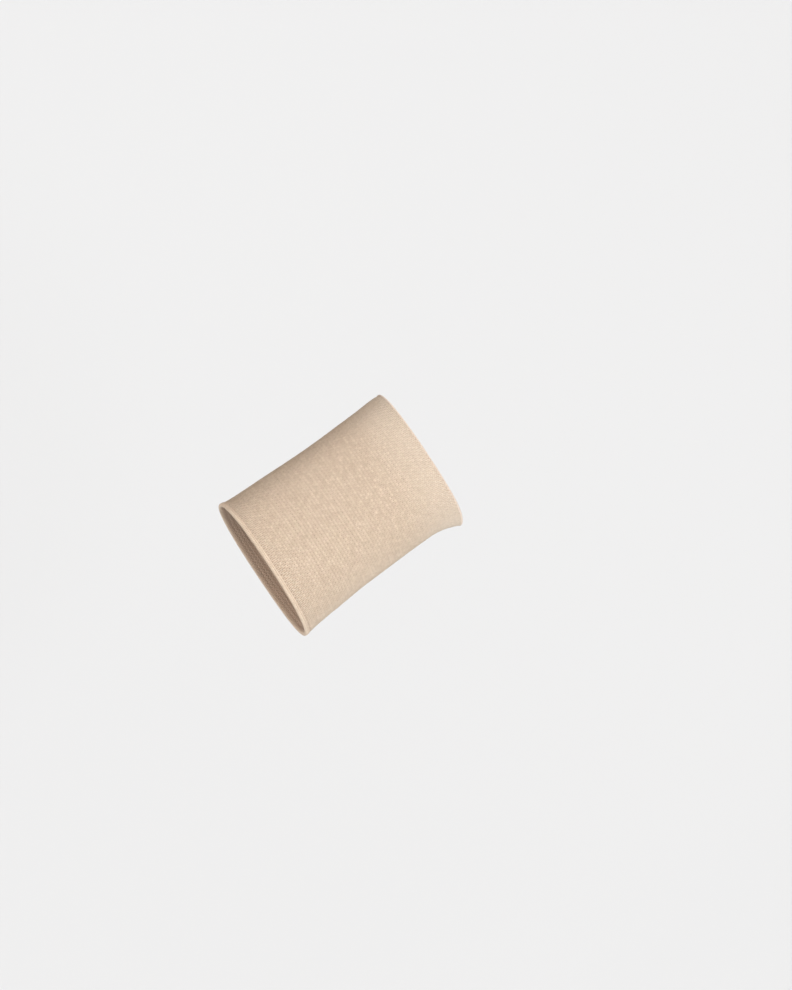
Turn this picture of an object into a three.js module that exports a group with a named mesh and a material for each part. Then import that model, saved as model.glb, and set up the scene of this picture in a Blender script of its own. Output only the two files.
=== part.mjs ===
// A knitted elastic wrist wrap in its worn shape: one seamless tube, open right through, whose two ends are
// each finished by a welt, a rounded roll of the same knitting. Lengths are millimetres.
//
// The origin is on the wrap's axis, halfway along it. +Y runs along the axis to the end with the fine welt,
// +Z comes out of the wrap's top, and +X is its right side as seen from above with +Y pointing away.

import * as THREE from "three";

// Driving dimensions
const LENGTH = 83; // along the axis, over both welts
const FABRIC_THICKNESS = 1.6;
const WELT_GAP = 0.3; // between the end of the tube and its welt
const BROAD_WELT = { width: 2.3, thickness: 2.1 };
const FINE_WELT = { width: 1.1, thickness: 1.9 };

// How far the outside of the fabric stands from the axis on each side, at stations along the axis. The tube
// tapers from the broad welt to a waist, and widens again towards the fine welt, most of all on the right.
const SECTIONS = [
  { station: -41.5, left: 32.5, right: 33.9, top: 24.4, bottom: 25.4 },
  { station: -38.0, left: 31.9, right: 33.2, top: 23.7, bottom: 24.9 },
  { station: -30.0, left: 31.8, right: 32.1, top: 23.0, bottom: 24.4 },
  { station: -20.0, left: 31.9, right: 31.1, top: 22.2, bottom: 23.8 },
  { station: -10.0, left: 31.9, right: 30.0, top: 21.4, bottom: 23.2 },
  { station: 0.0, left: 32.0, right: 29.4, top: 20.8, bottom: 22.6 },
  { station: 10.0, left: 32.4, right: 28.8, top: 20.5, bottom: 22.2 },
  { station: 20.0, left: 33.0, right: 28.3, top: 20.6, bottom: 22.3 },
  { station: 30.0, left: 33.6, right: 28.2, top: 20.9, bottom: 23.0 },
  { station: 37.0, left: 34.2, right: 29.6, top: 21.2, bottom: 23.9 },
  { station: 41.5, left: 34.2, right: 31.2, top: 21.5, bottom: 24.8 },
];
const SQUARENESS = 2.3; // the exponent of each quarter's superellipse, where 2 is an ellipse

// Fineness of the meshes
const POINTS_AROUND = 84;
const ROWS_ALONG = 20;
const WELT_SIDES = 8;
const OUTLINE_STEPS = 720; // the fine outline that the points around are spaced on

const WRAP_COLOUR = new THREE.Color().setRGB(0.83, 0.74, 0.64, THREE.SRGBColorSpace);
const WELT_COLOUR = new THREE.Color().setRGB(0.88, 0.79, 0.7, THREE.SRGBColorSpace);

const sizes = new THREE.CubicInterpolant(
  SECTIONS.map((row) => row.station),
  SECTIONS.flatMap((row) => [row.left, row.right, row.top, row.bottom]),
  4,
);

// The outside of the fabric where a plane square to the axis cuts it, as points (x, z) spaced evenly round
// it. They start on the right and pass over the top.
function outlineAt(station) {
  const [left, right, top, bottom] = sizes.evaluate(station);
  const reach = (value) => Math.sign(value) * Math.abs(value) ** (2 / SQUARENESS);
  const points = [];
  for (let i = 0; i <= OUTLINE_STEPS; i++) {
    const angle = (2 * Math.PI * i) / OUTLINE_STEPS;
    const x = reach(Math.cos(angle));
    const z = reach(Math.sin(angle));
    points.push(new THREE.Vector2(x * (x > 0 ? right : left), z * (z > 0 ? top : bottom)));
  }
  return new THREE.Path(points).getSpacedPoints(POINTS_AROUND).slice(0, POINTS_AROUND);
}

// A ring of points at a station, set in from the outside of the fabric by a depth.
function ringAt(station, depth) {
  const outline = outlineAt(station);
  return outline.map((point, i) => {
    const before = outline.at(i - 1);
    const after = outline[(i + 1) % outline.length];
    const tangent = after.clone().sub(before).normalize();
    return new THREE.Vector3(point.x - depth * tangent.y, station, point.y + depth * tangent.x);
  });
}

// Skins rings that run along the outside towards +Y and back along the inside as one closed body, with the
// last ring joined to the first.
function skin(rings) {
  const around = rings[0].length;
  const indices = [];
  rings.forEach((_, row) => {
    const nextRow = (row + 1) % rings.length;
    for (let i = 0; i < around; i++) {
      const next = (i + 1) % around;
      const [a, b] = [row * around + i, row * around + next];
      const [c, d] = [nextRow * around + next, nextRow * around + i];
      indices.push(a, d, c, a, c, b);
    }
  });
  const geometry = new THREE.BufferGeometry().setFromPoints(rings.flat());
  geometry.setIndex(indices);
  geometry.computeVertexNormals();
  return geometry;
}

function fabric(name, geometry, colour) {
  const material = new THREE.MeshStandardMaterial({ color: colour, roughness: 0.95, metalness: 0 });
  const mesh = new THREE.Mesh(geometry, material);
  mesh.name = name;
  return mesh;
}

// The knitted tube, open at both ends.
function makeSleeve(start, end) {
  const step = (end - start) / ROWS_ALONG;
  const stations = Array.from({ length: ROWS_ALONG + 1 }, (_, i) => start + i * step);
  const outside = stations.map((station) => ringAt(station, 0));
  const inside = stations.map((station) => ringAt(station, FABRIC_THICKNESS)).reverse();
  return fabric("sleeve", skin([...outside, ...inside]), WRAP_COLOUR);
}

// A welt: a rounded roll of knitting that runs round one end, centred on the thickness of the fabric.
function makeWelt(name, middle, { width, thickness }) {
  const rings = Array.from({ length: WELT_SIDES }, (_, i) => {
    const angle = (2 * Math.PI * i) / WELT_SIDES;
    const proud = (Math.sin(angle) * thickness) / 2;
    return ringAt(middle - (Math.cos(angle) * width) / 2, FABRIC_THICKNESS / 2 - proud);
  });
  return fabric(name, skin(rings), WELT_COLOUR);
}

const broadEnd = -LENGTH / 2;
const fineEnd = LENGTH / 2;
const wrap = new THREE.Group();
wrap.add(
  makeSleeve(broadEnd + BROAD_WELT.width + WELT_GAP, fineEnd - FINE_WELT.width - WELT_GAP),
  makeWelt("broad_welt", broadEnd + BROAD_WELT.width / 2, BROAD_WELT),
  makeWelt("fine_welt", fineEnd - FINE_WELT.width / 2, FINE_WELT),
);

export default wrap;
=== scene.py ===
# %% [markdown]
# # An elastic knitted wrist wrap
#
# The real wrap is one seamless tube of elastic knitting. It has no seam, strap or fastener: it is pulled on and
# its own stretch holds it. Each end is finished by a welt, a small roll of the same yarn.
#
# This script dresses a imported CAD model, which is the frame: every size and place below is measured on it. So
# the first cell loads the frame and keeps its box, because the finished wrap has to stay inside that box.

# %% Load the frame
import math

import bpy
import numpy as np
from mathutils import Matrix, Vector
from mathutils.bvhtree import BVHTree


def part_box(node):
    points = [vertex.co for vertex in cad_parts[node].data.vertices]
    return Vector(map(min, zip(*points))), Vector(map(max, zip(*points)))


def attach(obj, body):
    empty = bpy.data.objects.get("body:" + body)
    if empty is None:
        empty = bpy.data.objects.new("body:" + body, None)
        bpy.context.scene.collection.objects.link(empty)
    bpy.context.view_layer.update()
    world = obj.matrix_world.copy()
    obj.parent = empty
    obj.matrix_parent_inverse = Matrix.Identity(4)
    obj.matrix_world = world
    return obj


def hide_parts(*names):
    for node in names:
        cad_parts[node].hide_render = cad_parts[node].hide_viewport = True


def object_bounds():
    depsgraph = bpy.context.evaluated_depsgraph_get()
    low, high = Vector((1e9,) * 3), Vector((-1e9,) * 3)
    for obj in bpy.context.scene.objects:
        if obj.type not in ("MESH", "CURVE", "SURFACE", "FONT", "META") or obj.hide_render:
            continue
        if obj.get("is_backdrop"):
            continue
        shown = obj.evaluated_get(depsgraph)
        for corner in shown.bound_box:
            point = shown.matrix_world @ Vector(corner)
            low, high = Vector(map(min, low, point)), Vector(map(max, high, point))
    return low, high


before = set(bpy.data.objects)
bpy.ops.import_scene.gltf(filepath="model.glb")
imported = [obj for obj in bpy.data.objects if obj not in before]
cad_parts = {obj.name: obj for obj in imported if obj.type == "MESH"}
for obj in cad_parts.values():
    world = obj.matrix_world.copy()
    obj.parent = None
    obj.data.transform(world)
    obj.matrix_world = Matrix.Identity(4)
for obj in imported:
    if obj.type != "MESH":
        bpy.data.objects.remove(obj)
cad_box = [list(corner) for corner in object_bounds()]
MM = 0.001
print("CAD nodes:", sorted(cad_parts))
print("CAD box in mm:", [[round(value / MM, 1) for value in corner] for corner in cad_box])

# %% [markdown]
# ## A guide to knit on
#
# Stitches follow the cloth, so they need a map of it: for each place round the tube and along it, where is the
# outside of the cloth, and which way does it face? The tube could be drawn again from numbers, but then it
# would drift from the frame. Instead rays are cast at the frame's own tube, ring by ring, and each ring is
# spaced out evenly, because a machine knits the same number of stitches into every ring.
#
# The rings at the two ends are measured on the welts, which stand a little proud of the cloth.

# %% Measure rings on the frame
SPOKES = 720
RINGS_ON_SLEEVE = 21
BROAD_PROUD = 0.25 * MM
FINE_PROUD = 0.15 * MM
OUT_OF_REACH = 60 * MM


def ray_tree(node):
    """The faces of a node, ready to be hit by rays."""
    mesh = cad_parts[node].data
    return BVHTree.FromPolygons([v.co for v in mesh.vertices], [tuple(p.vertices) for p in mesh.polygons])


def measured_ring(tree, station, proud=0.0):
    """The outside of the cloth at a station, as (x, z) for each spoke, starting on the right and over the top."""
    found = []
    for spoke in range(SPOKES):
        angle = math.tau * spoke / SPOKES
        outward = Vector((math.cos(angle), 0, math.sin(angle)))
        hit = tree.ray_cast(Vector((0, station, 0)) + outward * OUT_OF_REACH, -outward)[0]
        found.append(hit - outward * proud)
    return np.array([(hit.x, hit.z) for hit in found])


def evenly_spaced(ring, count):
    """The same closed ring through count points with equal steps between them."""
    closed = np.vstack([ring, ring[:1]])
    walked = np.concatenate([[0], np.cumsum(np.linalg.norm(np.diff(closed, axis=0), axis=1))])
    wanted = np.linspace(0, walked[-1], count, endpoint=False)
    return np.stack([np.interp(wanted, walked, closed[:, axis]) for axis in (0, 1)], axis=1)


def middle(node):
    """The station halfway along a node."""
    low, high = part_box(node)
    return (low.y + high.y) / 2


GUIDE_COLUMNS = 264
sleeve_low, sleeve_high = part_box("sleeve")
JUST_INSIDE = 0.01 * MM
sleeve_stations = np.linspace(sleeve_low.y + JUST_INSIDE, sleeve_high.y - JUST_INSIDE, RINGS_ON_SLEEVE)
sleeve_tree = ray_tree("sleeve")
measured = [measured_ring(ray_tree("broad_welt"), middle("broad_welt"), BROAD_PROUD)]
measured += [measured_ring(sleeve_tree, station) for station in sleeve_stations]
measured += [measured_ring(ray_tree("fine_welt"), middle("fine_welt"), FINE_PROUD)]
stations = np.array([middle("broad_welt"), *sleeve_stations, middle("fine_welt")])
rings = np.array([evenly_spaced(ring, GUIDE_COLUMNS) for ring in measured])
girths = np.linalg.norm(rings - np.roll(rings, 1, axis=1), axis=2).sum(axis=1)
print("girth in mm, broad end, waist, fine end:", np.round(girths[[0, girths.argmin(), -1]] / MM, 1))

# %% [markdown]
# Between the measured rings the cloth is smooth, so it runs along a curve through them: each ring has a slope,
# taken from its two neighbours, and a cubic joins each pair of rings. Worn cloth is never quite square either.
# At the broad end the rim is drawn in a little over the top, and at the fine end it is drawn in at the far
# right.

# %% Find the cloth at any station
RIM_DRAWN_IN = 0.6 * MM
RIM_FADES_OVER = 25 * MM
SIDE_DRAWN_IN = 1.1 * MM
SIDE_FADES_OVER = 12 * MM
SIDE_NARROWNESS = 6  # a power: the higher it is, the narrower the part that is drawn in
wrap_start = cad_box[0][1]
wrap_length = cad_box[1][1] - wrap_start
wrap_end = wrap_start + wrap_length


def rings_at(wanted):
    """Rings at any stations, on a smooth curve through the measured rings."""
    slopes = np.gradient(rings, stations, axis=0)
    i = np.clip(np.searchsorted(stations, wanted) - 1, 0, len(stations) - 2)
    span = (stations[i + 1] - stations[i])[:, None, None]
    t = ((wanted - stations[i]) / span[:, 0, 0])[:, None, None]
    start = (2 * t**3 - 3 * t**2 + 1) * rings[i] + (t**3 - 2 * t**2 + t) * span * slopes[i]
    end = (3 * t**2 - 2 * t**3) * rings[i + 1] + (t**3 - t**2) * span * slopes[i + 1]
    return start + end


def cloth_at(wanted):
    """Points on the outside of the cloth at those stations, and the way that the cloth faces at each."""
    flat = rings_at(wanted)
    station = np.asarray(wanted)[:, None]
    near_rim = np.clip(1 - (station - wrap_start) / RIM_FADES_OVER, 0, 1) ** 2
    top = flat[..., 1].max(axis=1, keepdims=True)
    along = station + RIM_DRAWN_IN * near_rim * np.clip(flat[..., 1] / top, 0, 1)
    near_end = np.clip(1 - (wrap_end - station) / SIDE_FADES_OVER, 0, 1)
    side = flat[..., 0].max(axis=1, keepdims=True)
    along = along - SIDE_DRAWN_IN * near_end * np.clip(flat[..., 0] / side, 0, 1) ** SIDE_NARROWNESS
    points = np.stack([flat[..., 0], along, flat[..., 1]], axis=-1)
    round_it = np.roll(points, -1, axis=1) - np.roll(points, 1, axis=1)
    outward = np.cross(np.gradient(points, axis=0), round_it)
    return points, outward / np.linalg.norm(outward, axis=-1, keepdims=True)


print("the wrap is", round(wrap_length / MM, 1), "mm long")

# %% [markdown]
# The guide itself is a grid of faces on the cloth. It carries what the stitches look up: the way that the cloth
# faces, and a map named cloth, which gives each place as a share of the way round and of the way along. Its
# columns overlap where it closes. A stitch that crosses the join then always finds cloth under it.

# %% Make the guide
GUIDE_ROWS = 124
OVERLAP = 4


def make_guide():
    """The grid of faces, with what the stitches look up."""
    points, outward = cloth_at(np.linspace(wrap_start, wrap_end, GUIDE_ROWS))
    columns = np.arange(-OVERLAP, GUIDE_COLUMNS + OVERLAP + 1)
    points = points[:, columns % GUIDE_COLUMNS]
    outward = outward[:, columns % GUIDE_COLUMNS]
    across = len(columns)
    row, column = np.mgrid[: GUIDE_ROWS - 1, : across - 1]
    corner = (row * across + column).ravel()
    faces = np.stack([corner, corner + across, corner + across + 1, corner + 1], axis=1)
    mesh = bpy.data.meshes.new("guide")
    mesh.from_pydata(points.reshape(-1, 3), [], faces)
    mesh.attributes.new("outward", "FLOAT_VECTOR", "POINT").data.foreach_set("vector", outward.ravel())
    shares = np.stack(
        [
            np.broadcast_to(columns / GUIDE_COLUMNS, (GUIDE_ROWS, across)),
            np.broadcast_to(np.linspace(0, 1, GUIDE_ROWS)[:, None], (GUIDE_ROWS, across)),
        ],
        axis=-1,
    ).reshape(-1, 2)
    mesh.uv_layers.new(name="cloth").data.foreach_set("uv", shares[faces.ravel()].ravel())
    return mesh


guide = make_guide()
print("guide:", len(guide.polygons), "faces")

# %% [markdown]
# ## Nodes written as sums
#
# Both the stitches and the finishes are node trees. Trees that are clicked together are hard to read back,
# so two small classes let a script write them. The first is a `Wire`, a node's output that takes part in
# arithmetic: `1 - mask` adds the Math node that it needs, and a sum with a vector or colour adds a Vector Math
# node.

# %% Do sums with wires


class Wire:
    """A node's output, which can be used in sums."""

    def __init__(self, tree, socket):
        self.tree = tree
        self.socket = socket

    def out(self, name):
        return Wire(self.tree, self.socket.node.outputs[name])

    def sum_with(self, operation, *values):
        in_space = any(isinstance(v, Wire) and v.socket.type in ("VECTOR", "RGBA") for v in values)
        if in_space:
            values = [v if isinstance(v, (Wire, tuple)) else (v, v, v) for v in values]
        kind = "ShaderNodeVectorMath" if in_space else "ShaderNodeMath"
        return self.tree.add(kind, {"operation": operation}, dict(enumerate(values)))

    def __add__(self, other):
        return self.sum_with("ADD", self, other)

    def __radd__(self, other):
        return self.sum_with("ADD", other, self)

    def __sub__(self, other):
        return self.sum_with("SUBTRACT", self, other)

    def __rsub__(self, other):
        return self.sum_with("SUBTRACT", other, self)

    def __mul__(self, other):
        return self.sum_with("MULTIPLY", self, other)

    def __rmul__(self, other):
        return self.sum_with("MULTIPLY", other, self)

    def __truediv__(self, other):
        return self.sum_with("DIVIDE", self, other)

    def __mod__(self, other):
        return self.sum_with("FLOORED_MODULO", self, other)

    def cos(self):
        return self.sum_with("COSINE", self)

    def sin(self):
        return self.sum_with("SINE", self)


print("wires can be added, subtracted, multiplied, divided and wrapped, and have a cosine and a sine")

# %% [markdown]
# The second is a `Tree`, which adds any other node in one call: its type, then its settings, then what goes
# into its sockets. A socket goes by its name. Where a node has several of one name, as Mix has a set for each
# kind of value, it goes by its number.

# %% Add nodes to a tree


class Tree:
    """A node tree in the making."""

    def __init__(self, owner):
        self.owner = owner

    def add(self, kind, settings=None, sockets=None):
        node = self.owner.nodes.new(kind)
        for name, value in (settings or {}).items():
            setattr(node, name, value)
        for name, value in (sockets or {}).items():
            if isinstance(value, Wire):
                self.owner.links.new(value.socket, node.inputs[name])
            else:
                node.inputs[name].default_value = value
        return Wire(self, node.outputs[0]) if node.outputs else None

    def blend(self, share, first, second):
        """A colour between two: share is 0 for the first and 1 for the second."""
        settings = {"data_type": "RGBA"}
        return self.add("ShaderNodeMix", settings, {0: share, 6: first, 7: second}).out(2)


print("trees can add any node, and blend two colours")

# %% [markdown]
# ## Rings of yarn
#
# Everything on this wrap is yarn that closes on itself: a course of stitches runs right round the tube, and the
# stitches of a welt run round its roll. So one kind of tree makes them all. It lays a circle of points for each
# ring, and asks for four numbers at every point: how far round the tube it lies, how far along, how high above
# the cloth, and what share of a deeper tone it takes, which on the knit is random dye and painted shade. Then it
# looks the place up on the guide, moves the point there, and sweeps a small section along the ring to make yarn.
# A little noise keeps the yarn from looking like a machine drawing. That share is stored on the yarn, for its
# material to read.
#
# Instancing one modelled stitch would also work, but each stitch would need its neighbours' ends to meet. A
# ring that is one curve has no ends at all.

# %% Write the tree of a ring of yarn
COMMON_SIZES = {
    "Rings": ("NodeSocketInt", 1),
    "Points in a ring": ("NodeSocketInt", 8),
    "Sides of the yarn": ("NodeSocketInt", 6),
    "Yarn radius": ("NodeSocketFloat", 0.3 * MM),
    "Unevenness": ("NodeSocketFloat", 0.0),
    "Seed": ("NodeSocketFloat", 0.0),
}
UNEVEN_SCALE = 620.0
THICK_AND_THIN = 0.22


def yarn_tree(name, sizes, place):
    """A tree that turns the guide into rings of yarn. place(point, ring, size) says where each point goes."""
    group = bpy.data.node_groups.new(name, "GeometryNodeTree")
    group.interface.new_socket("Guide", in_out="INPUT", socket_type="NodeSocketGeometry")
    for label, (kind, value) in {**COMMON_SIZES, **sizes}.items():
        group.interface.new_socket(label, in_out="INPUT", socket_type=kind).default_value = value
    group.interface.new_socket("Yarn", in_out="INPUT", socket_type="NodeSocketMaterial")
    group.interface.new_socket("Knitting", in_out="OUTPUT", socket_type="NodeSocketGeometry")
    tree = Tree(group)
    given = tree.add("NodeGroupInput")
    size = {label: given.out(label) for label in {**COMMON_SIZES, **sizes}}

    starts = tree.add("GeometryNodePoints", None, {"Count": size["Rings"]})
    index = tree.add("GeometryNodeInputIndex")
    numbered = tree.add(
        "GeometryNodeStoreNamedAttribute",
        {"data_type": "FLOAT", "domain": "POINT"},
        {"Geometry": starts, "Name": "ring", "Value": index},
    )
    circle = tree.add("GeometryNodeCurvePrimitiveCircle", None, {"Resolution": size["Points in a ring"]})
    copies = tree.add("GeometryNodeInstanceOnPoints", None, {"Points": numbered, "Instance": circle})
    loops = tree.add("GeometryNodeRealizeInstances", None, {"Geometry": copies})

    point = tree.add("GeometryNodeSplineParameter").out("Index")
    ring = tree.add("GeometryNodeInputNamedAttribute", {"data_type": "FLOAT"}, {"Name": "ring"})
    round_it, along, height, dye_and_painted_shade = place(point, ring, size)
    spot = tree.add("ShaderNodeCombineXYZ", None, {"X": round_it % 1, "Y": along / wrap_length})
    cloth_map = tree.add("GeometryNodeInputNamedAttribute", {"data_type": "FLOAT_VECTOR"}, {"Name": "cloth"})

    def look_up(value):
        sockets = {"Mesh": given, "Value": value, "UV Map": cloth_map, "Sample UV": spot}
        return tree.add("GeometryNodeSampleUVSurface", {"data_type": "FLOAT_VECTOR"}, sockets)

    settings = {"data_type": "FLOAT_VECTOR"}
    facing = look_up(tree.add("GeometryNodeInputNamedAttribute", settings, {"Name": "outward"}))
    target = look_up(tree.add("GeometryNodeInputPosition")) + facing * height
    sockets = {"Vector": target, "W": size["Seed"], "Scale": UNEVEN_SCALE, "Detail": 3.0}
    noise = tree.add("ShaderNodeTexNoise", {"noise_dimensions": "4D"}, sockets)
    nudge = (noise.out("Color") - 0.5) * size["Unevenness"]
    placed = tree.add("GeometryNodeSetPosition", None, {"Geometry": loops, "Position": target + nudge})
    shaded = tree.add(
        "GeometryNodeStoreNamedAttribute",
        {"data_type": "FLOAT", "domain": "POINT"},
        {"Geometry": placed, "Name": "dye_and_painted_shade", "Value": dye_and_painted_shade},
    )

    thickness = (noise - 0.5) * THICK_AND_THIN * 2 + 1
    section = {"Resolution": size["Sides of the yarn"], "Radius": size["Yarn radius"]}
    profile = tree.add("GeometryNodeCurvePrimitiveCircle", None, section)
    sockets = {"Curve": shaded, "Profile Curve": profile, "Scale": thickness}
    swept = tree.add("GeometryNodeCurveToMesh", None, sockets)
    smooth = tree.add("GeometryNodeSetShadeSmooth", None, {0: swept})
    real = tree.add("GeometryNodeRealizeInstances", None, {"Geometry": smooth})
    sockets = {"Geometry": real, "Material": given.out("Yarn")}
    finished = tree.add("GeometryNodeSetMaterial", None, sockets)
    tree.add("NodeGroupOutput", None, {"Knitting": finished})
    return group


print("sizes that every ring of yarn has:", ", ".join(COMMON_SIZES))

# %% [markdown]
# When the model is exported, its finish is baked into a picture, and that needs a flat map of the yarn. A ring
# of yarn is one long pipe, so the map takes it in short lengths and unrolls each into a square of its own. That
# wastes little of the picture, and nothing overlaps.

# %% Unroll the yarn
LENGTH_IN_A_SQUARE = 8
MARGIN = 0.04
SHARE_OF_SQUARE = 0.92


def unroll(mesh, points, sides):
    """A map for baking, in which each short length of yarn lies in a square of its own."""
    corners = np.empty(len(mesh.loops), dtype=int)
    mesh.loops.foreach_get("vertex_index", corners)
    corners = corners.reshape(-1, 4)
    ring = corners[:, 0] // (points * sides)
    place = corners // sides % points
    side = corners % sides
    place[(np.ptp(place, axis=1) > 1)[:, None] & (place == 0)] = points
    side[(np.ptp(side, axis=1) > 1)[:, None] & (side == 0)] = sides
    length = place.min(axis=1) // LENGTH_IN_A_SQUARE
    square = ring * (points // LENGTH_IN_A_SQUARE) + length
    squares_across = math.ceil(math.sqrt(square.max() + 1))
    along = place / LENGTH_IN_A_SQUARE - length[:, None]
    u = square[:, None] % squares_across + MARGIN + SHARE_OF_SQUARE * along
    v = square[:, None] // squares_across + MARGIN + SHARE_OF_SQUARE * side / sides
    bake_map = np.stack([u, v], axis=-1).reshape(-1) / squares_across
    mesh.uv_layers.new(name="OFBake").data.foreach_set("uv", bake_map)


print("points of yarn in a square:", LENGTH_IN_A_SQUARE)

# %% [markdown]
# A tree does its work as a modifier, so something has to carry it while it runs. Here that is a passing object
# with the guide as its mesh. What the modifier makes is then kept as a plain mesh, because a finished piece
# should need nothing else to exist. A modifier's inputs go by their identifiers, which the tree's interface
# gives for each name.

# %% Grow a piece


def grow(name, group, yarn, sizes):
    """Runs a yarn tree on the guide and keeps what it makes as a plain mesh."""
    carrier = bpy.data.objects.new(name + "_carrier", guide)
    bpy.context.scene.collection.objects.link(carrier)
    modifier = carrier.modifiers.new("knitting", "NODES")
    modifier.node_group = group
    sockets = {item.name: item.identifier for item in group.interface.items_tree if item.in_out == "INPUT"}
    for label, value in sizes.items():
        modifier[sockets[label]] = value
    modifier[sockets["Yarn"]] = yarn
    depsgraph = bpy.context.evaluated_depsgraph_get()
    mesh = bpy.data.meshes.new_from_object(
        carrier.evaluated_get(depsgraph), preserve_all_data_layers=True, depsgraph=depsgraph
    )
    carrier.modifiers.remove(modifier)
    bpy.data.objects.remove(carrier)
    mesh.name = name
    piece = bpy.data.objects.new(name, mesh)
    bpy.context.scene.collection.objects.link(piece)
    unroll(mesh, sizes["Points in a ring"], sizes["Sides of the yarn"])
    print(name, "has", len(mesh.polygons) * 2, "triangles")
    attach(piece, "root")
    return piece


print("pieces grow on a guide of", GUIDE_ROWS, "rings")

# %% [markdown]
# ## The yarn's finish
#
# A finish is written in numbers, and three habits help. Colours are given as they look on a screen and turned
# into amounts of light. What is the same all over the surface is set on the shader's own sockets, and only what
# changes over it is wired up. And noise in the object's own space stands in for a picture of cloth: it needs no
# picture and has no seams.

# %% Prepare for finishes


def linear(red, green, blue):
    """A screen colour from 0 to 255 as the light that it stands for."""
    shares = [value / 255 for value in (red, green, blue)]
    return (*[s / 12.92 if s < 0.04045 else ((s + 0.055) / 1.055) ** 2.4 for s in shares], 1.0)


def new_material(name, **constants):
    """A material whose shader has these constants. An underscore stands for a space."""
    material = bpy.data.materials.new(name)
    material.use_nodes = True
    material.node_tree.nodes.clear()
    tree = Tree(material.node_tree)
    shader = tree.add("ShaderNodeBsdfPrincipled", None, {k.replace("_", " "): v for k, v in constants.items()})
    tree.add("ShaderNodeOutputMaterial", None, {"Surface": shader})
    return material, tree, shader.socket.node.inputs


def feed(tree, inputs, **wires):
    """Wires up the shader's sockets, named in the same way."""
    for name, wire in wires.items():
        tree.owner.links.new(wire.socket, inputs[name.replace("_", " ")])


def clouds(tree, place, scale, detail=2.0):
    """Noise in space, with about that many clouds to a metre."""
    return tree.add("ShaderNodeTexNoise", None, {"Vector": place, "Scale": scale, "Detail": detail})


def soft_step(tree, value, limits):
    """How far a value has come from one limit to the other, eased at both."""
    settings = {"interpolation_type": "SMOOTHSTEP"}
    return tree.add("ShaderNodeMapRange", settings, {"Value": value, **limits})


print("mid grey on a screen gives", round(linear(128, 128, 128)[0], 2), "of the light that white gives")

# %% [markdown]
# The yarn is cotton spun round an elastic core: matt, a little hairy, and not quite one colour. Its fibres show
# as fine streaks, its tone drifts slowly along the cloth, and its hairs catch the light at a grazing angle,
# which is what a shader's sheen does. The share that was stored on the yarn mixes in a deeper tone, which is
# random dye and painted shade. Towards the fine welt the knit's tone grows paler.

# %% Make yarn materials
DRIFT_SCALE = 90.0
BLOTCH_SCALE = 760.0
FIBRE_SCALE = 5200.0
BLOTCH_PART = 0.55
FIBRE_PART = 0.45
MIDDLE_OF_NOISE = {"From Min": 0.38, "From Max": 0.66}
WARM_SHARE = 0.4
DARK_SHARE = 0.8
# The deeper tone: random dye, and painted shade where the yarn sinks in and round the sides.
DYE_AND_SHADE_TONE = linear(186, 160, 137)
# Towards the fine welt the knit's tone grows paler.
FINE_END_TONE = linear(239, 227, 212)
FINE_END_LIMITS = {"From Min": 15 * MM, "From Max": 42 * MM, "To Max": 0.35}


def paler_towards_fine_welt(tree, place, tone):
    """The tone, and a paler one towards the fine welt."""
    along = tree.add("ShaderNodeSeparateXYZ", None, {"Vector": place}).out("Y")
    return tree.blend(soft_step(tree, along, FINE_END_LIMITS), tone, FINE_END_TONE)


def yarn_material(name, light_tone, dark_tone, warm_tone, fuzz=0.06, pales_towards_fine_welt=False):
    """Yarn in three tones, and a deeper one by the stored share. Some yarn gets paler towards the fine welt."""
    finish = {"Sheen_Weight": fuzz, "Sheen_Roughness": 0.45, "Specular_IOR_Level": 0.12}
    material, tree, inputs = new_material(name, **finish)
    place = tree.add("ShaderNodeTexCoord").out("Object")
    drift = clouds(tree, place, DRIFT_SCALE)
    fibres = clouds(tree, place, FIBRE_SCALE)
    blotch = clouds(tree, place, BLOTCH_SCALE, detail=3.0)
    tone = tree.blend(soft_step(tree, drift, MIDDLE_OF_NOISE) * WARM_SHARE, light_tone, warm_tone)
    mottle = blotch * BLOTCH_PART + fibres * FIBRE_PART
    tone = tree.blend(soft_step(tree, mottle, MIDDLE_OF_NOISE) * DARK_SHARE, tone, dark_tone)
    # The stored share of the deeper tone, which is random dye and painted shade.
    dye_and_painted_shade = tree.add("ShaderNodeAttribute", {"attribute_name": "dye_and_painted_shade"}).out("Fac")
    tone = tree.blend(dye_and_painted_shade, tone, DYE_AND_SHADE_TONE)
    if pales_towards_fine_welt:
        tone = paler_towards_fine_welt(tree, place, tone)
    bump = tree.add("ShaderNodeBump", None, {"Height": fibres, "Strength": 0.35, "Distance": 0.04 * MM})
    feed(tree, inputs, Base_Color=tone, Roughness=0.78 + fibres * 0.2, Normal=bump)
    return material


knit_tones = [linear(241, 224, 204), linear(219, 201, 181), linear(241, 221, 204)]
knit_yarn = yarn_material("knit_yarn", *knit_tones, fuzz=0.01, pales_towards_fine_welt=True)
broad_tones = [linear(233, 213, 192), linear(215, 194, 172), linear(234, 211, 192)]
broad_welt_yarn = yarn_material("broad_welt_yarn", *broad_tones)
# The fine welt's pale yarn is drawn paler still, a painted highlight that keeps its rolled end bright where it
# turns from the light.
fine_welt_and_highlight_tones = [linear(242, 226, 211), linear(232, 211, 195), linear(243, 223, 209)]
fine_welt_yarn = yarn_material("fine_welt_yarn", *fine_welt_and_highlight_tones)
print("materials:", knit_yarn.name, broad_welt_yarn.name, fine_welt_yarn.name)
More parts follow.
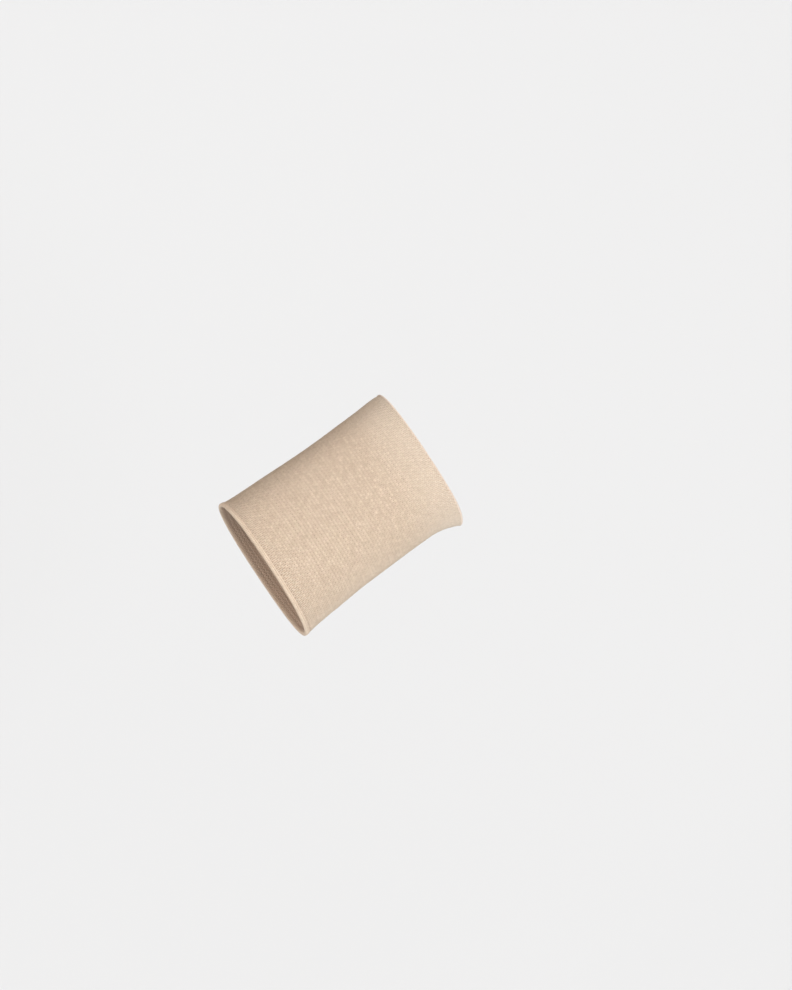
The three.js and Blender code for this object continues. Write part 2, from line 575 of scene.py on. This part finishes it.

# %% [markdown]
# ## The knitted tube
#
# The tube is fine knitting with its reverse side outwards. On that side the heads and feet of the loops stand
# up in rows, so the cloth looks ringed rather than ribbed. Pulled on, each stitch is about as wide as it is
# long. Every other course stands half a stitch aside, so heads and feet lie like bricks and no line runs
# straight along the tube.
#
# One course is a wave that runs back and forth along the tube and leans over itself at every turn, so that each
# loop is narrow at its neck. Its heads and feet stand out, and its legs sink in, where they pass through the
# course before. Beside the welts and round the two sides the cloth is pulled smoother, so the loops stand out
# less there.
#
# No two stitches take the dye quite alike. So each half of a stitch gets a share of a deeper tone by chance.
# The sunken yarn and the two sides get a little more of that tone, as painted shade.

# %% Say where a course runs
WALES = 112
COURSES = 57
POINTS_IN_A_STITCH = 10
YARN_RADIUS = 0.335 * MM
UNDER_WELT = 0.35 * MM  # how far the last course reaches under the fine welt
LOOP_HEIGHT = 0.56  # of a course, to each side of its middle
LOOP_LEAN = 0.12  # of a stitch
LOOP_RELIEF = 0.14 * MM
HEAD_OVER_FOOT = 0.03 * MM
SMOOTH_BESIDE_WELT = 2.4 * MM
FULL_RELIEF_FROM = 4.5 * MM
LEAST_RELIEF = 0.35
CALMER_FROM = 52 * MM
CALMEST_SHARE = 0.6
FLATTER_ON_SIDES = 0.6
# Painted shade: yarn that sinks in between the heads and feet is drawn in a deeper tone.
SUNK_PAINTED_SHADE = 0.1
CHANCE_DYE = 0.42
# Painted shade: yarn round the two sides of the tube is drawn in a deeper tone.
SIDE_PAINTED_SHADE = 0.13
knit_start = sleeve_low.y - wrap_start
knit_length = sleeve_high.y - sleeve_low.y + UNDER_WELT
course_pitch = knit_length / COURSES


def fade(value, start, end, first, last):
    """A number that goes evenly from first to last while the value goes from start to end."""
    limits = {"From Min": start, "From Max": end, "To Min": first, "To Max": last}
    return value.tree.add("ShaderNodeMapRange", None, {"Value": value, **limits})


def place_in_course(point, ring, size):
    """Where a point of a course lies: how far round, how far along, how high, and its share of a deeper tone."""
    phase = point * (math.tau / POINTS_IN_A_STITCH)
    number = ring + size["First course"]
    step_aside = number % 2 * 0.5
    wale = point / POINTS_IN_A_STITCH + (2 * phase).sin() * LOOP_LEAN + step_aside
    along = (number + 0.5 + phase.cos() * LOOP_HEIGHT) * course_pitch + knit_start
    risen = fade(along, knit_start + SMOOTH_BESIDE_WELT, knit_start + FULL_RELIEF_FROM, LEAST_RELIEF, 1.0)
    calm = fade(along, CALMER_FROM, wrap_length, 1.0, CALMEST_SHARE)
    sides = (wale * (2 * math.tau / WALES)).cos() * 0.5 + 0.5
    liveliness = risen * calm * (1 - sides * FLATTER_ON_SIDES)
    sunk = (1 - (2 * phase).cos()) * liveliness
    height = phase.cos() * HEAD_OVER_FOOT - YARN_RADIUS - sunk * LOOP_RELIEF
    half_stitch = point * (2 / POINTS_IN_A_STITCH) + 0.5
    which = half_stitch - half_stitch % 1 + number * (2 * WALES + 1)
    chance = point.tree.add("ShaderNodeTexWhiteNoise", {"noise_dimensions": "1D"}, {"W": which})
    # A random dye share for each half stitch, and painted shade where the yarn sinks in.
    dye_and_painted_shade = sunk * (SUNK_PAINTED_SHADE / 2) + (chance - 0.5) * liveliness * CHANCE_DYE + CHANCE_DYE / 2
    # Round the two sides the yarn takes more of the deeper tone, as painted shade.
    return wale / WALES, along, height, dye_and_painted_shade + sides * SIDE_PAINTED_SHADE


print("stitch in mm:", round(girths.mean() / WALES / MM, 2), "by", round(course_pitch / MM, 2))

# %% [markdown]
# The courses are made in four bands, because one mesh of them all would be too heavy. Each band starts its
# count where the band before it stopped, so the pattern runs on from band to band.

# %% Knit the courses
BANDS = 4
course_sizes = {"First course": ("NodeSocketFloat", 0.0)}
course_group = yarn_tree("courses", course_sizes, place_in_course)
course_numbers = np.array_split(np.arange(COURSES), BANDS)
for band, numbers in enumerate(course_numbers, start=1):
    sizes = {
        "Rings": len(numbers),
        "Points in a ring": WALES * POINTS_IN_A_STITCH,
        "Sides of the yarn": 5,
        "Yarn radius": YARN_RADIUS,
        "Unevenness": 0.13 * MM,
        "Seed": 1.7,
        "First course": float(numbers[0]),
    }
    grow(f"courses_{band}", course_group, knit_yarn, sizes)

# %% [markdown]
# ## The body of the cloth
#
# Behind the loops lie the elastic threads and the other half of every stitch. From outside they only close the
# gaps, but inside the tube they are what shows. So one closed wall carries them. Its outside lies just under
# the loops, its inside is the inside of the frame's tube, and its rounded edges end inside the welts. The
# inside shows the smooth side of the knitting, upright rows of small Vs, and those are drawn by a bump that
# follows the cloth.

# %% Make the body of the cloth
CLOTH_THICKNESS = 1.6 * MM
BODY_DEPTH = 0.42 * MM
BODY_ROWS = 116
BODY_STARTS_IN = 0.9 * MM
BODY_ENDS_IN = 0.45 * MM
EDGE_BULGE = 0.22 * MM


def closed_grid(name, grid, face_map):
    """A closed wall over rings that run out along one side and back along the other."""
    rows, columns = grid.shape[:2]
    row, column = np.mgrid[:rows, :columns]
    next_row = (row + 1) % rows
    next_column = (column + 1) % columns
    picks = [(row, column), (next_row, column), (next_row, next_column), (row, next_column)]
    faces = np.stack([r * columns + c for r, c in picks], axis=-1).reshape(-1, 4)
    mesh = bpy.data.meshes.new(name)
    mesh.from_pydata(grid.reshape(-1, 3), [], faces)
    mesh.polygons.foreach_set("use_smooth", np.ones(len(faces), dtype=bool))
    u = np.stack([column, column, column + 1, column + 1], axis=-1) / columns
    v = np.stack([row, row + 1, row + 1, row], axis=-1) / rows
    mesh.uv_layers.new(name="OFBake").data.foreach_set("uv", np.stack([u, v], axis=-1).reshape(-1))
    mesh.uv_layers.new(name="cloth").data.foreach_set("uv", face_map(u, v).reshape(-1))
    piece = bpy.data.objects.new(name, mesh)
    bpy.context.scene.collection.objects.link(piece)
    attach(piece, "root")
    print(name, "has", len(faces) * 2, "triangles")
    return piece


body_stations = np.linspace(wrap_start + BODY_STARTS_IN, wrap_end - BODY_ENDS_IN, BODY_ROWS)
cloth_points, cloth_outward = cloth_at(body_stations)
outside = cloth_points - cloth_outward * BODY_DEPTH
inside = cloth_points - cloth_outward * CLOTH_THICKNESS
halfway = (outside + inside) / 2
beyond = np.array([0, EDGE_BULGE, 0])
wall = np.concatenate([outside, halfway[-1:] + beyond, inside[::-1], halfway[:1] - beyond])


def stitches(u, v):
    """The cloth's own map in whole stitches: wales across and courses along, the same on both sides."""
    row = v * len(wall)
    back = np.clip(2 * BODY_ROWS - row, 0, BODY_ROWS - 1)
    along = np.where(row < BODY_ROWS, row, back) / (BODY_ROWS - 1)
    return np.stack([u * WALES, along * COURSES], axis=-1)


cloth_body = closed_grid("cloth_body", wall, stitches)

# %% [markdown]
# The bump of the inside is made of sums. Seen close, a V is two short ridges that lean towards each other. A
# ridge that leans is a wave across the wales, pushed sideways as it runs along, and pushed the other way in the
# other half of the wale.

# %% Finish the body of the cloth


def inside_material():
    """The smooth side of the knitting, with its Vs as a bump, and painted shade in the grooves between them."""
    material, tree, inputs = new_material(
        "inside_knit", Sheen_Weight=0.1, Sheen_Roughness=0.5, Specular_IOR_Level=0.2, Diffuse_Roughness=0.3
    )
    cloth = tree.add("ShaderNodeUVMap", {"uv_map": "cloth"})
    split = tree.add("ShaderNodeSeparateXYZ", None, {"Vector": cloth})
    wale = split.out("X")
    course = split.out("Y")
    half = (wale * 2) % 1
    lean = tree.add("ShaderNodeMath", {"operation": "PINGPONG"}, {0: wale, 1: 0.5})
    rows = ((course + lean) * math.tau).cos() * 0.5 + 0.5
    legs = ((half - 0.5) * math.tau).cos() * 0.5 + 0.5
    relief = rows * 0.45 + legs * 0.55
    place = tree.add("ShaderNodeTexCoord").out("Object")
    fibres = clouds(tree, place, FIBRE_SCALE)
    tone = tree.blend(clouds(tree, place, DRIFT_SCALE), linear(226, 203, 182), linear(222, 196, 177))
    # Painted shade: the grooves between the Vs are drawn darker, and the fibres streak the tone at random.
    tone = tree.blend(relief * 0.6 + fibres * 0.4, linear(198, 173, 151), tone)
    tone = paler_towards_fine_welt(tree, place, tone)
    height = relief + fibres * 0.2
    bump = tree.add("ShaderNodeBump", None, {"Height": height, "Distance": 0.35 * MM})
    feed(tree, inputs, Base_Color=tone, Roughness=0.8 + fibres * 0.15, Normal=bump)
    return material


cloth_body.data.materials.append(inside_material())
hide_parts("sleeve")

# %% [markdown]
# ## The welts
#
# At each end the knitting is rolled over and its last loops are bound off round the roll. What shows is a
# smooth pale lip with a row of tiny loops along its very edge. The broad welt has a thick roll, and where it
# meets the tube lies one straight thread. The fine welt is hardly more than a bright line.
#
# The binding is one thread that winds round the roll, two turns to each stitch of the tube. So it is a ring as
# well, and the same kind of tree can grow it: the point's number turns into an angle round the roll. A roll
# without width is a plain ring of thread, which gives the filling of the roll and the straight thread too.

# %% Say how thread winds round a roll
POINTS_IN_A_TURN = 12
TURNS = 2 * WALES
PAIRING = 0.05  # of a turn: how far each two turns lean towards each other


def place_round_roll(point, ring, size):
    """Where a point of a thread round a roll lies. The thread takes none of the deeper tone."""
    turn = point / size["Points in a turn"]
    angle = turn * math.tau
    stitch = (turn * math.pi).cos()
    reach = size["Half width"] + stitch * size["Edge loops"]
    along = size["Middle"] + angle.cos() * reach
    height = size["Depth"] + angle.sin() * size["Half thickness"]
    return point / size["Points in a ring"] + stitch * size["Pairing"], along, height, 0.0


winding_sizes = {
    "Points in a turn": ("NodeSocketFloat", float(POINTS_IN_A_TURN)),
    "Middle": ("NodeSocketFloat", 0.0),
    "Depth": ("NodeSocketFloat", 0.0),
    "Half width": ("NodeSocketFloat", 0.0),
    "Half thickness": ("NodeSocketFloat", 0.0),
    "Edge loops": ("NodeSocketFloat", 0.0),
    "Pairing": ("NodeSocketFloat", 0.0),
}
winding_group = yarn_tree("winding", winding_sizes, place_round_roll)
print("a binding has", TURNS, "turns")

# %% [markdown]
# Each welt's binding takes its place and its width from the welt of the frame that it stands in for. The
# fillings and the straight thread lie on the same middle line, or a little to the side of it.

# %% Wind the welts
BROAD_THREAD = 0.36 * MM
BROAD_BINDING_PROUD = 0.14 * MM
BROAD_EDGE_LOOPS = 0.12 * MM
BROAD_FILLING = 0.75 * MM
STRAIGHT_THREAD = 0.32 * MM
STRAIGHT_THREAD_ASIDE = 0.8 * MM
STRAIGHT_THREAD_DEPTH = 0.16 * MM
FINE_THREAD = 0.33 * MM
FINE_EDGE_LOOPS = 0.05 * MM
FINE_FILLING = 0.35 * MM


def plain_ring(name, yarn, along, depth, radius):
    """One straight ring of thread, at a depth in the cloth."""
    sizes = {
        "Rings": 1,
        "Points in a ring": TURNS,
        "Sides of the yarn": 10,
        "Yarn radius": radius,
        "Unevenness": 0.06 * MM,
        "Seed": 5.1,
        "Middle": along,
        "Depth": -depth,
    }
    piece = grow(name, winding_group, yarn, sizes)


def binding(node, yarn, thread, proud, edge_loops):
    """The thread that winds round a welt and stands in for the frame's own welt."""
    low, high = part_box(node)
    sizes = {
        "Rings": 1,
        "Points in a ring": TURNS * POINTS_IN_A_TURN,
        "Sides of the yarn": 6,
        "Yarn radius": thread,
        "Unevenness": 0.08 * MM,
        "Seed": 9.3,
        "Middle": middle(node) - wrap_start,
        "Depth": -CLOTH_THICKNESS / 2,
        "Half width": (high.y - low.y) / 2 - thread - edge_loops / 2,
        "Half thickness": CLOTH_THICKNESS / 2 + proud - thread,
        "Edge loops": edge_loops,
        "Pairing": PAIRING / TURNS,
    }
    piece = grow(node + "_binding", winding_group, yarn, sizes)
    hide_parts(node)


broad_middle = middle("broad_welt") - wrap_start
fine_middle = middle("fine_welt") - wrap_start
beside_roll = broad_middle + STRAIGHT_THREAD_ASIDE
binding("broad_welt", broad_welt_yarn, BROAD_THREAD, BROAD_BINDING_PROUD, BROAD_EDGE_LOOPS)
plain_ring("broad_welt_filling", broad_welt_yarn, broad_middle, CLOTH_THICKNESS / 2, BROAD_FILLING)
plain_ring("broad_welt_thread", broad_welt_yarn, beside_roll, STRAIGHT_THREAD_DEPTH, STRAIGHT_THREAD)
binding("fine_welt", fine_welt_yarn, FINE_THREAD, FINE_PROUD, FINE_EDGE_LOOPS)
plain_ring("fine_welt_filling", fine_welt_yarn, fine_middle, CLOTH_THICKNESS / 2, FINE_FILLING)

# %% [markdown]
# ## Camera
#
# The picture looks down on the top of the wrap from a little before its broad end, and the wrap's axis climbs
# to the right. A long lens from a metre and a half away gives it almost no perspective. The camera is built
# from three directions: the axis as it lies in the picture gives its right and its up, and its back is the way
# to the camera.

# %% Place the camera
PICTURE_WIDTH = 792
PICTURE_HEIGHT = 990
LENS = 135.0
SENSOR = 36.0
AXIS_CLIMB = math.radians(33.4)
TILT = math.radians(9.2)
PIXELS_PER_METRE = 2370.0
ORIGIN_PIXEL = (342.4, 515.5)

focal_pixels = LENS / SENSOR * max(PICTURE_WIDTH, PICTURE_HEIGHT)
distance = focal_pixels / PIXELS_PER_METRE
along_in_picture = Vector((0, math.cos(TILT), math.sin(TILT)))
across_in_picture = Vector((1, 0, 0))
right = along_in_picture * math.cos(AXIS_CLIMB) + across_in_picture * math.sin(AXIS_CLIMB)
up = along_in_picture * math.sin(AXIS_CLIMB) - across_in_picture * math.cos(AXIS_CLIMB)
back = right.cross(up)
off_right = (PICTURE_WIDTH / 2 - ORIGIN_PIXEL[0]) / PIXELS_PER_METRE
off_up = (ORIGIN_PIXEL[1] - PICTURE_HEIGHT / 2) / PIXELS_PER_METRE


def from_camera(to_right, upwards, towards_camera):
    """A way or a place, given as the camera sees it."""
    return right * to_right + up * upwards + back * towards_camera


camera_data = bpy.data.cameras.new("camera")
camera_data.lens = LENS
camera_data.sensor_width = SENSOR
camera_data.clip_end = 20.0
camera = bpy.data.objects.new("camera", camera_data)
turn = Matrix((right, up, back)).transposed().to_4x4()
camera.matrix_world = Matrix.Translation(from_camera(off_right, off_up, distance)) @ turn
bpy.context.scene.collection.objects.link(camera)
bpy.context.scene.camera = camera
print("camera stands", round(distance, 3), "m away")

# %% [markdown]
# ## Floor and light
#
# The wrap is held up in the air, so the floor lies well below it and takes only a faint shadow. It is one wide
# face, so its edges stay out of the picture.

# %% Lay the floor
FLOOR_BELOW = 0.6
FLOOR_HALF = 3.0
FLOOR_CLOUD_SCALE = 1.5


def floor_material():
    """Pale paint, very slightly uneven."""
    material, tree, inputs = new_material("floor_paint", Roughness=0.9, Specular_IOR_Level=0.1)
    place = tree.add("ShaderNodeTexCoord").out("Object")
    cloudy = clouds(tree, place, FLOOR_CLOUD_SCALE)
    feed(tree, inputs, Base_Color=tree.blend(cloudy, linear(221, 221, 222), linear(224, 224, 225)))
    return material


floor_mesh = bpy.data.meshes.new("floor")
corners = [(-1, -1), (1, -1), (1, 1), (-1, 1)]
floor_mesh.from_pydata([(x * FLOOR_HALF, y * FLOOR_HALF, -FLOOR_BELOW) for x, y in corners], [], [(0, 1, 2, 3)])
floor_mesh.materials.append(floor_material())
floor = bpy.data.objects.new("floor", floor_mesh)
bpy.context.scene.collection.objects.link(floor)
floor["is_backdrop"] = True
print("floor:", 2 * FLOOR_HALF, "m square,", FLOOR_BELOW, "m below the wrap")

# %% [markdown]
# The light is that of a white studio: most of it is soft light from the right and from below on the left, and
# there is a little from high on both sides. Suns with a wide disc light the whole floor evenly, which lamps
# near the wrap would not. The walls of the room look pale but give little light, so that the upper left side of
# the wrap stays in soft shade.

# %% Light the studio
SOFTNESS = math.radians(35)
ROOM_LIGHT = 0.05
ROOM_SEEN = 0.84

# For each sun, the way to it as the camera sees it (right, up, near), its strength and its colour.
SUNS = {
    "right_light": ((1.2, -0.2, 1.1), 1.41, (0.92, 0.945, 0.93)),
    "right_front_light": ((0.8, -0.1, 1.3), 1.17, (0.92, 0.955, 1.0)),
    "high_right_light": ((0.8, 0.9, 0.9), 0.6, (0.985, 0.93, 0.865)),
    "low_left_light": ((-0.9, -0.8, 1.0), 1.39, (0.955, 0.965, 0.97)),
    "high_left_light": ((-0.7, 0.8, 1.15), 0.74, (0.985, 0.87, 0.78)),
}


def soft_light(name, towards, strength, colour):
    """A sun with a wide disc that shines from that way."""
    light = bpy.data.lights.new(name, "SUN")
    light.angle = SOFTNESS
    light.energy = strength
    light.color = colour
    lamp = bpy.data.objects.new(name, light)
    lamp.matrix_world = Matrix.Translation(towards) @ towards.to_track_quat("Z", "Y").to_matrix().to_4x4()
    bpy.context.scene.collection.objects.link(lamp)


for name, (way, strength, colour) in SUNS.items():
    soft_light(name, from_camera(*way), strength, colour)
world = bpy.data.worlds.new("studio")
world.use_nodes = True
world.node_tree.nodes.clear()
room = Tree(world.node_tree)
seen = room.add("ShaderNodeLightPath").out("Is Camera Ray")
background = room.add("ShaderNodeBackground", None, {"Strength": ROOM_LIGHT + (ROOM_SEEN - ROOM_LIGHT) * seen})
room.add("ShaderNodeOutputWorld", None, {"Surface": background})
background.socket.node.inputs["Color"].default_value = (1.0, 1.0, 1.0, 1.0)
bpy.context.scene.world = world
bpy.context.scene.view_settings.view_transform = "Standard"
print("suns:", ", ".join(SUNS))

# %% [markdown]
# ## Last look
#
# The guide was only a tool. The sizes of the finished wrap are written next to those of the frame, so that they
# can be compared.

# %% Compare sizes and finish
bpy.data.meshes.remove(guide)
made_box = [list(corner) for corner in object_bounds()]
growth = [[round((m - c) / MM, 2) for m, c in zip(made, cad)] for made, cad in zip(made_box, cad_box)]
print("the wrap stands past its frame by, in mm:", growth)
